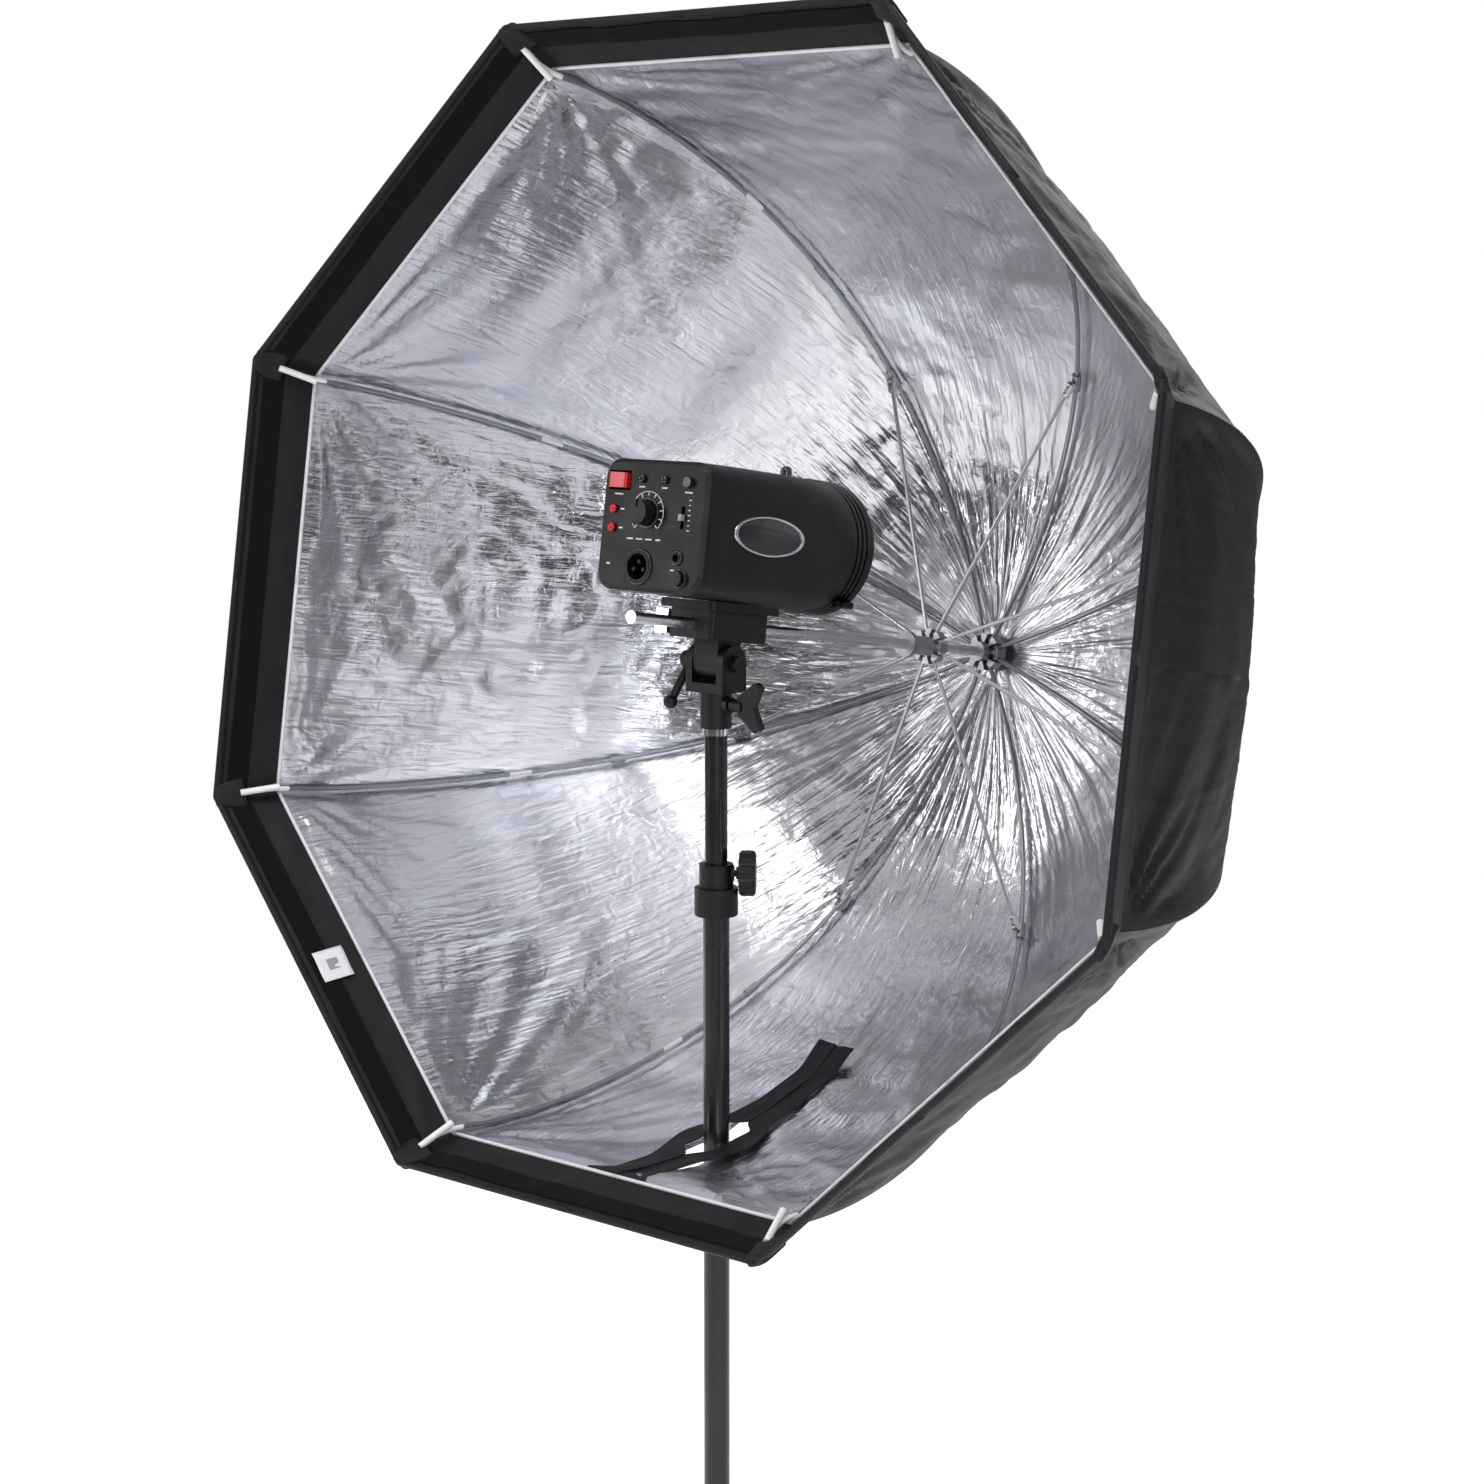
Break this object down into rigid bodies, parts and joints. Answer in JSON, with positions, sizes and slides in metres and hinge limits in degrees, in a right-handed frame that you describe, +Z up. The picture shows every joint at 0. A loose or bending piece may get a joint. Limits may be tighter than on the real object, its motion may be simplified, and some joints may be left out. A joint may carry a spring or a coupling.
{
  "type": "studio softbox",
  "caption": "Octagonal umbrella softbox with silver lining, a compact flash head on a tilt bracket inside it, and a folding telescopic light stand through a slot.",
  "frame": {"origin": "on the floor, under the stand's pole", "axes": "+Z up the pole, -Y the way the softbox's open side faces, +X to its left as it faces the viewer"},
  "size_m": [0.9498, 0.7644, 1.9363],
  "materials": {
    "black_nylon": "matt woven",
    "steel_rod": "bright zinc plate",
    "cast_zinc": "cast",
    "matte_black_plastic": "fine moulded texture",
    "black_aluminium": "satin anodised",
    "chrome": "polished",
    "glass": "clear",
    "circuit_board": "lacquered board",
    "red_plastic": "gloss",
    "grey_plastic": "satin",
    "smoked_plastic": "gloss, smoked"
  },
  "bodies": {
    "base": {"column_lower": "black_aluminium", "collar_lower": "matte_black_plastic", "base_hub": "matte_black_plastic"},
    "knob_lower": {"knob_lower": "matte_black_plastic"},
    "leg_slider": {"leg_slider": "matte_black_plastic"},
    "knob_slider": {"knob_slider": "matte_black_plastic"},
    "leg_1": {"leg_1": "black_aluminium"},
    "leg_2": {"leg_2": "black_aluminium"},
    "leg_3": {"leg_3": "black_aluminium"},
    "brace_1": {"brace_1": "black_aluminium"},
    "brace_2": {"brace_2": "black_aluminium"},
    "brace_3": {"brace_3": "black_aluminium"},
    "column_middle": {"column_middle": "black_aluminium", "collar_middle": "matte_black_plastic"},
    "knob_middle": {"knob_middle": "matte_black_plastic"},
    "column_top": {"column_top": "black_aluminium", "top_stud": "chrome"},
    "bracket": {"bracket_base": "matte_black_plastic"},
    "wing_knob": {"wing_knob": "matte_black_plastic"},
    "head": {"tilt_head": "matte_black_plastic", "head_shell": "matte_black_plastic", "rear_panel": "matte_black_plastic", "front_ring": "matte_black_plastic", "reflector": "chrome", "flash_tube": "glass", "modelling_lamp": "glass", "circuit_board": "circuit_board", "panel_fittings": "matte_black_plastic", "sensor_dome": "smoked_plastic"},
    "tilt_lever": {"tilt_lever": "matte_black_plastic"},
    "shaft_screw": {"shaft_screw": "matte_black_plastic"},
    "power_switch": {"power_switch": "red_plastic"},
    "power_dial": {"power_dial": "matte_black_plastic"},
    "mode_switch": {"mode_switch": "matte_black_plastic"},
    "test_button": {"test_button": "grey_plastic"},
    "ring_latch": {"ring_latch": "chrome"},
    "umbrella": {"umbrella_shaft": "steel_rod", "crown_hub": "cast_zinc", "crown_cap": "matte_black_plastic", "canopy_panels": "black_nylon", "slot_panel": "black_nylon", "slot_placket": "black_nylon", "lip_band": "black_nylon"},
    "runner": {"runner": "cast_zinc"},
    "rib_1": {"rib_1": "steel_rod"},
    "rib_2": {"rib_2": "steel_rod"},
    "rib_3": {"rib_3": "steel_rod"},
    "rib_4": {"rib_4": "steel_rod"},
    "rib_5": {"rib_5": "steel_rod"},
    "rib_6": {"rib_6": "steel_rod"},
    "rib_7": {"rib_7": "steel_rod"},
    "rib_8": {"rib_8": "steel_rod"},
    "stretcher_1": {"stretcher_1": "steel_rod"},
    "stretcher_2": {"stretcher_2": "steel_rod"},
    "stretcher_3": {"stretcher_3": "steel_rod"},
    "stretcher_4": {"stretcher_4": "steel_rod"},
    "stretcher_5": {"stretcher_5": "steel_rod"},
    "stretcher_6": {"stretcher_6": "steel_rod"},
    "stretcher_7": {"stretcher_7": "steel_rod"},
    "stretcher_8": {"stretcher_8": "steel_rod"}
  },
  "joints": [
    {"name": "column_middle_slide", "type": "slide", "parent": "base", "child": "column_middle", "axis": [0, 0, 1], "range_m": [-0.15, 0.02]},
    {"name": "column_top_slide", "type": "slide", "parent": "column_middle", "child": "column_top", "axis": [0, 0, 1], "range_m": [-0.095, 0.03]},
    {"name": "knob_lower_turn", "type": "hinge", "parent": "base", "child": "knob_lower", "pos_m": [0, 0, 0.682], "axis": [0.788, 0.6157, 0], "range_deg": [-180, 180]},
    {"name": "knob_middle_turn", "type": "hinge", "parent": "column_middle", "child": "knob_middle", "pos_m": [0, 0, 1.244], "axis": [0.788, 0.6157, 0], "range_deg": [-180, 180]},
    {"name": "knob_slider_turn", "type": "hinge", "parent": "leg_slider", "child": "knob_slider", "pos_m": [0, 0, 0.434], "axis": [0.866, 0.5, 0], "range_deg": [-180, 180]},
    {"name": "tripod_fold", "type": "slide", "parent": "base", "child": "leg_slider", "axis": [0, 0, 1], "range_m": [0, 0.15777]},
    {"name": "pan", "type": "hinge", "parent": "column_top", "child": "bracket", "pos_m": [0, 0, 1.42], "axis": [0, 0, 1], "continuous": true},
    {"name": "wing_knob_turn", "type": "hinge", "parent": "bracket", "child": "wing_knob", "pos_m": [0, 0, 1.386], "axis": [1, 0, 0], "range_deg": [-180, 180]},
    {"name": "tilt", "type": "hinge", "parent": "bracket", "child": "head", "pos_m": [0, 0, 1.42], "axis": [1, 0, 0], "range_deg": [-14, 10]},
    {"name": "tilt_lever_turn", "type": "hinge", "parent": "head", "child": "tilt_lever", "pos_m": [0, 0, 1.42], "axis": [1, 0, 0], "range_deg": [-60, 60]},
    {"name": "shaft_screw_turn", "type": "hinge", "parent": "head", "child": "shaft_screw", "pos_m": [-0.038, -0.01133, 1.45206], "axis": [1, 0, 0], "range_deg": [-180, 180]},
    {"name": "shaft_slide", "type": "slide", "parent": "head", "child": "umbrella", "axis": [0, 0.9888, -0.1495], "range_m": [-0.02, 0.02]},
    {"name": "umbrella_fold", "type": "slide", "parent": "umbrella", "child": "runner", "axis": [0, 0.9888, -0.1495], "range_m": [-0.13651, 0], "deforming": ["canopy_panels", "slot_panel", "slot_placket", "lip_band"]},
    {"name": "power_switch_rock", "type": "hinge", "parent": "head", "child": "power_switch", "pos_m": [-0.038, -0.07025, 1.5707], "axis": [1, 0, 0], "range_deg": [-7, 7]},
    {"name": "power_dial_turn", "type": "hinge", "parent": "head", "child": "power_dial", "pos_m": [-0.006, -0.07597, 1.54628], "axis": [0, 0.9888, -0.1495], "range_deg": [-150, 150]},
    {"name": "mode_switch_slide", "type": "slide", "parent": "head", "child": "mode_switch", "axis": [0, 0.1495, 0.9888], "range_m": [-0.005, 0.005]},
    {"name": "test_button_press", "type": "slide", "parent": "head", "child": "test_button", "axis": [0, 0.9888, -0.1495], "range_m": [0, 0.0015], "stiffness_N_per_m": 250},
    {"name": "ring_latch_pull", "type": "slide", "parent": "head", "child": "ring_latch", "axis": [0, 0.9888, -0.1495], "range_m": [0, 0.003], "stiffness_N_per_m": 250},
    {"name": "leg_1_hinge", "type": "hinge", "parent": "leg_slider", "child": "leg_1", "pos_m": [0, 0.03, 0.42], "axis": [-1, 0, 0], "range_deg": [0, 45.58]},
    {"name": "brace_1_hinge", "type": "hinge", "parent": "base", "child": "brace_1", "pos_m": [0, 0.03, 0.11], "axis": [-1, 0, 0], "range_deg": [-45.58, 0]},
    {"name": "leg_2_hinge", "type": "hinge", "parent": "leg_slider", "child": "leg_2", "pos_m": [-0.02598, -0.015, 0.42], "axis": [0.5, -0.866, 0], "range_deg": [0, 45.58]},
    {"name": "brace_2_hinge", "type": "hinge", "parent": "base", "child": "brace_2", "pos_m": [-0.02598, -0.015, 0.11], "axis": [0.5, -0.866, 0], "range_deg": [-45.58, 0]},
    {"name": "leg_3_hinge", "type": "hinge", "parent": "leg_slider", "child": "leg_3", "pos_m": [0.02598, -0.015, 0.42], "axis": [0.5, 0.866, 0], "range_deg": [0, 45.58]},
    {"name": "brace_3_hinge", "type": "hinge", "parent": "base", "child": "brace_3", "pos_m": [0.02598, -0.015, 0.11], "axis": [0.5, 0.866, 0], "range_deg": [-45.58, 0]},
    {"name": "rib_1_hinge", "type": "hinge", "parent": "umbrella", "child": "rib_1", "pos_m": [0.00459, 0.37942, 1.40417], "axis": [0.9239, -0.0572, -0.3784], "range_deg": [0, 15.02]},
    {"name": "stretcher_1_hinge", "type": "hinge", "parent": "rib_1", "child": "stretcher_1", "pos_m": [0.09952, 0.36126, 1.6387], "axis": [0.9239, -0.0572, -0.3784], "range_deg": [-32.8, 0]},
    {"name": "rib_2_hinge", "type": "hinge", "parent": "umbrella", "child": "rib_2", "pos_m": [0.01109, 0.37845, 1.39775], "axis": [0.3827, -0.1382, -0.9135], "range_deg": [0, 15.02]},
    {"name": "stretcher_2_hinge", "type": "hinge", "parent": "rib_2", "child": "stretcher_2", "pos_m": [0.24026, 0.34021, 1.49954], "axis": [0.3827, -0.1382, -0.9135], "range_deg": [-32.8, 0]},
    {"name": "rib_3_hinge", "type": "hinge", "parent": "umbrella", "child": "rib_3", "pos_m": [0.01109, 0.37707, 1.38867], "axis": [-0.3827, -0.1382, -0.9135], "range_deg": [0, 15.02]},
    {"name": "stretcher_3_hinge", "type": "hinge", "parent": "rib_3", "child": "stretcher_3", "pos_m": [0.24026, 0.31045, 1.30274], "axis": [-0.3827, -0.1382, -0.9135], "range_deg": [-32.8, 0]},
    {"name": "rib_4_hinge", "type": "hinge", "parent": "umbrella", "child": "rib_4", "pos_m": [0.00459, 0.3761, 1.38225], "axis": [-0.9239, -0.0572, -0.3784], "range_deg": [0, 15.02]},
    {"name": "stretcher_4_hinge", "type": "hinge", "parent": "rib_4", "child": "stretcher_4", "pos_m": [0.09952, 0.2894, 1.16358], "axis": [-0.9239, -0.0572, -0.3784], "range_deg": [-32.8, 0]},
    {"name": "rib_5_hinge", "type": "hinge", "parent": "umbrella", "child": "rib_5", "pos_m": [-0.00459, 0.3761, 1.38225], "axis": [-0.9239, 0.0572, 0.3784], "range_deg": [0, 15.02]},
    {"name": "stretcher_5_hinge", "type": "hinge", "parent": "rib_5", "child": "stretcher_5", "pos_m": [-0.09952, 0.2894, 1.16358], "axis": [-0.9239, 0.0572, 0.3784], "range_deg": [-32.8, 0]},
    {"name": "rib_6_hinge", "type": "hinge", "parent": "umbrella", "child": "rib_6", "pos_m": [-0.01109, 0.37707, 1.38867], "axis": [-0.3827, 0.1382, 0.9135], "range_deg": [0, 15.02]},
    {"name": "stretcher_6_hinge", "type": "hinge", "parent": "rib_6", "child": "stretcher_6", "pos_m": [-0.24026, 0.31045, 1.30274], "axis": [-0.3827, 0.1382, 0.9135], "range_deg": [-32.8, 0]},
    {"name": "rib_7_hinge", "type": "hinge", "parent": "umbrella", "child": "rib_7", "pos_m": [-0.01109, 0.37845, 1.39775], "axis": [0.3827, 0.1382, 0.9135], "range_deg": [0, 15.02]},
    {"name": "stretcher_7_hinge", "type": "hinge", "parent": "rib_7", "child": "stretcher_7", "pos_m": [-0.24026, 0.34021, 1.49954], "axis": [0.3827, 0.1382, 0.9135], "range_deg": [-32.8, 0]},
    {"name": "rib_8_hinge", "type": "hinge", "parent": "umbrella", "child": "rib_8", "pos_m": [-0.00459, 0.37942, 1.40417], "axis": [0.9239, 0.0572, 0.3784], "range_deg": [0, 15.02]},
    {"name": "stretcher_8_hinge", "type": "hinge", "parent": "rib_8", "child": "stretcher_8", "pos_m": [-0.09952, 0.36126, 1.6387], "axis": [0.9239, 0.0572, 0.3784], "range_deg": [-32.8, 0]}
  ],
  "couplings": [
    {"joint": "leg_1_hinge", "follows": "tripod_fold", "rad_per_m": 5.0403},
    {"joint": "brace_1_hinge", "follows": "tripod_fold", "rad_per_m": -5.0403},
    {"joint": "leg_2_hinge", "follows": "tripod_fold", "rad_per_m": 5.0403},
    {"joint": "brace_2_hinge", "follows": "tripod_fold", "rad_per_m": -5.0403},
    {"joint": "leg_3_hinge", "follows": "tripod_fold", "rad_per_m": 5.0403},
    {"joint": "brace_3_hinge", "follows": "tripod_fold", "rad_per_m": -5.0403},
    {"joint": "rib_1_hinge", "follows": "umbrella_fold", "rad_per_m": -1.9178},
    {"joint": "stretcher_1_hinge", "follows": "umbrella_fold", "rad_per_m": 4.1905},
    {"joint": "rib_2_hinge", "follows": "umbrella_fold", "rad_per_m": -1.9178},
    {"joint": "stretcher_2_hinge", "follows": "umbrella_fold", "rad_per_m": 4.1905},
    {"joint": "rib_3_hinge", "follows": "umbrella_fold", "rad_per_m": -1.9178},
    {"joint": "stretcher_3_hinge", "follows": "umbrella_fold", "rad_per_m": 4.1905},
    {"joint": "rib_4_hinge", "follows": "umbrella_fold", "rad_per_m": -1.9178},
    {"joint": "stretcher_4_hinge", "follows": "umbrella_fold", "rad_per_m": 4.1905},
    {"joint": "rib_5_hinge", "follows": "umbrella_fold", "rad_per_m": -1.9178},
    {"joint": "stretcher_5_hinge", "follows": "umbrella_fold", "rad_per_m": 4.1905},
    {"joint": "rib_6_hinge", "follows": "umbrella_fold", "rad_per_m": -1.9178},
    {"joint": "stretcher_6_hinge", "follows": "umbrella_fold", "rad_per_m": 4.1905},
    {"joint": "rib_7_hinge", "follows": "umbrella_fold", "rad_per_m": -1.9178},
    {"joint": "stretcher_7_hinge", "follows": "umbrella_fold", "rad_per_m": 4.1905},
    {"joint": "rib_8_hinge", "follows": "umbrella_fold", "rad_per_m": -1.9178},
    {"joint": "stretcher_8_hinge", "follows": "umbrella_fold", "rad_per_m": 4.1905}
  ]
}
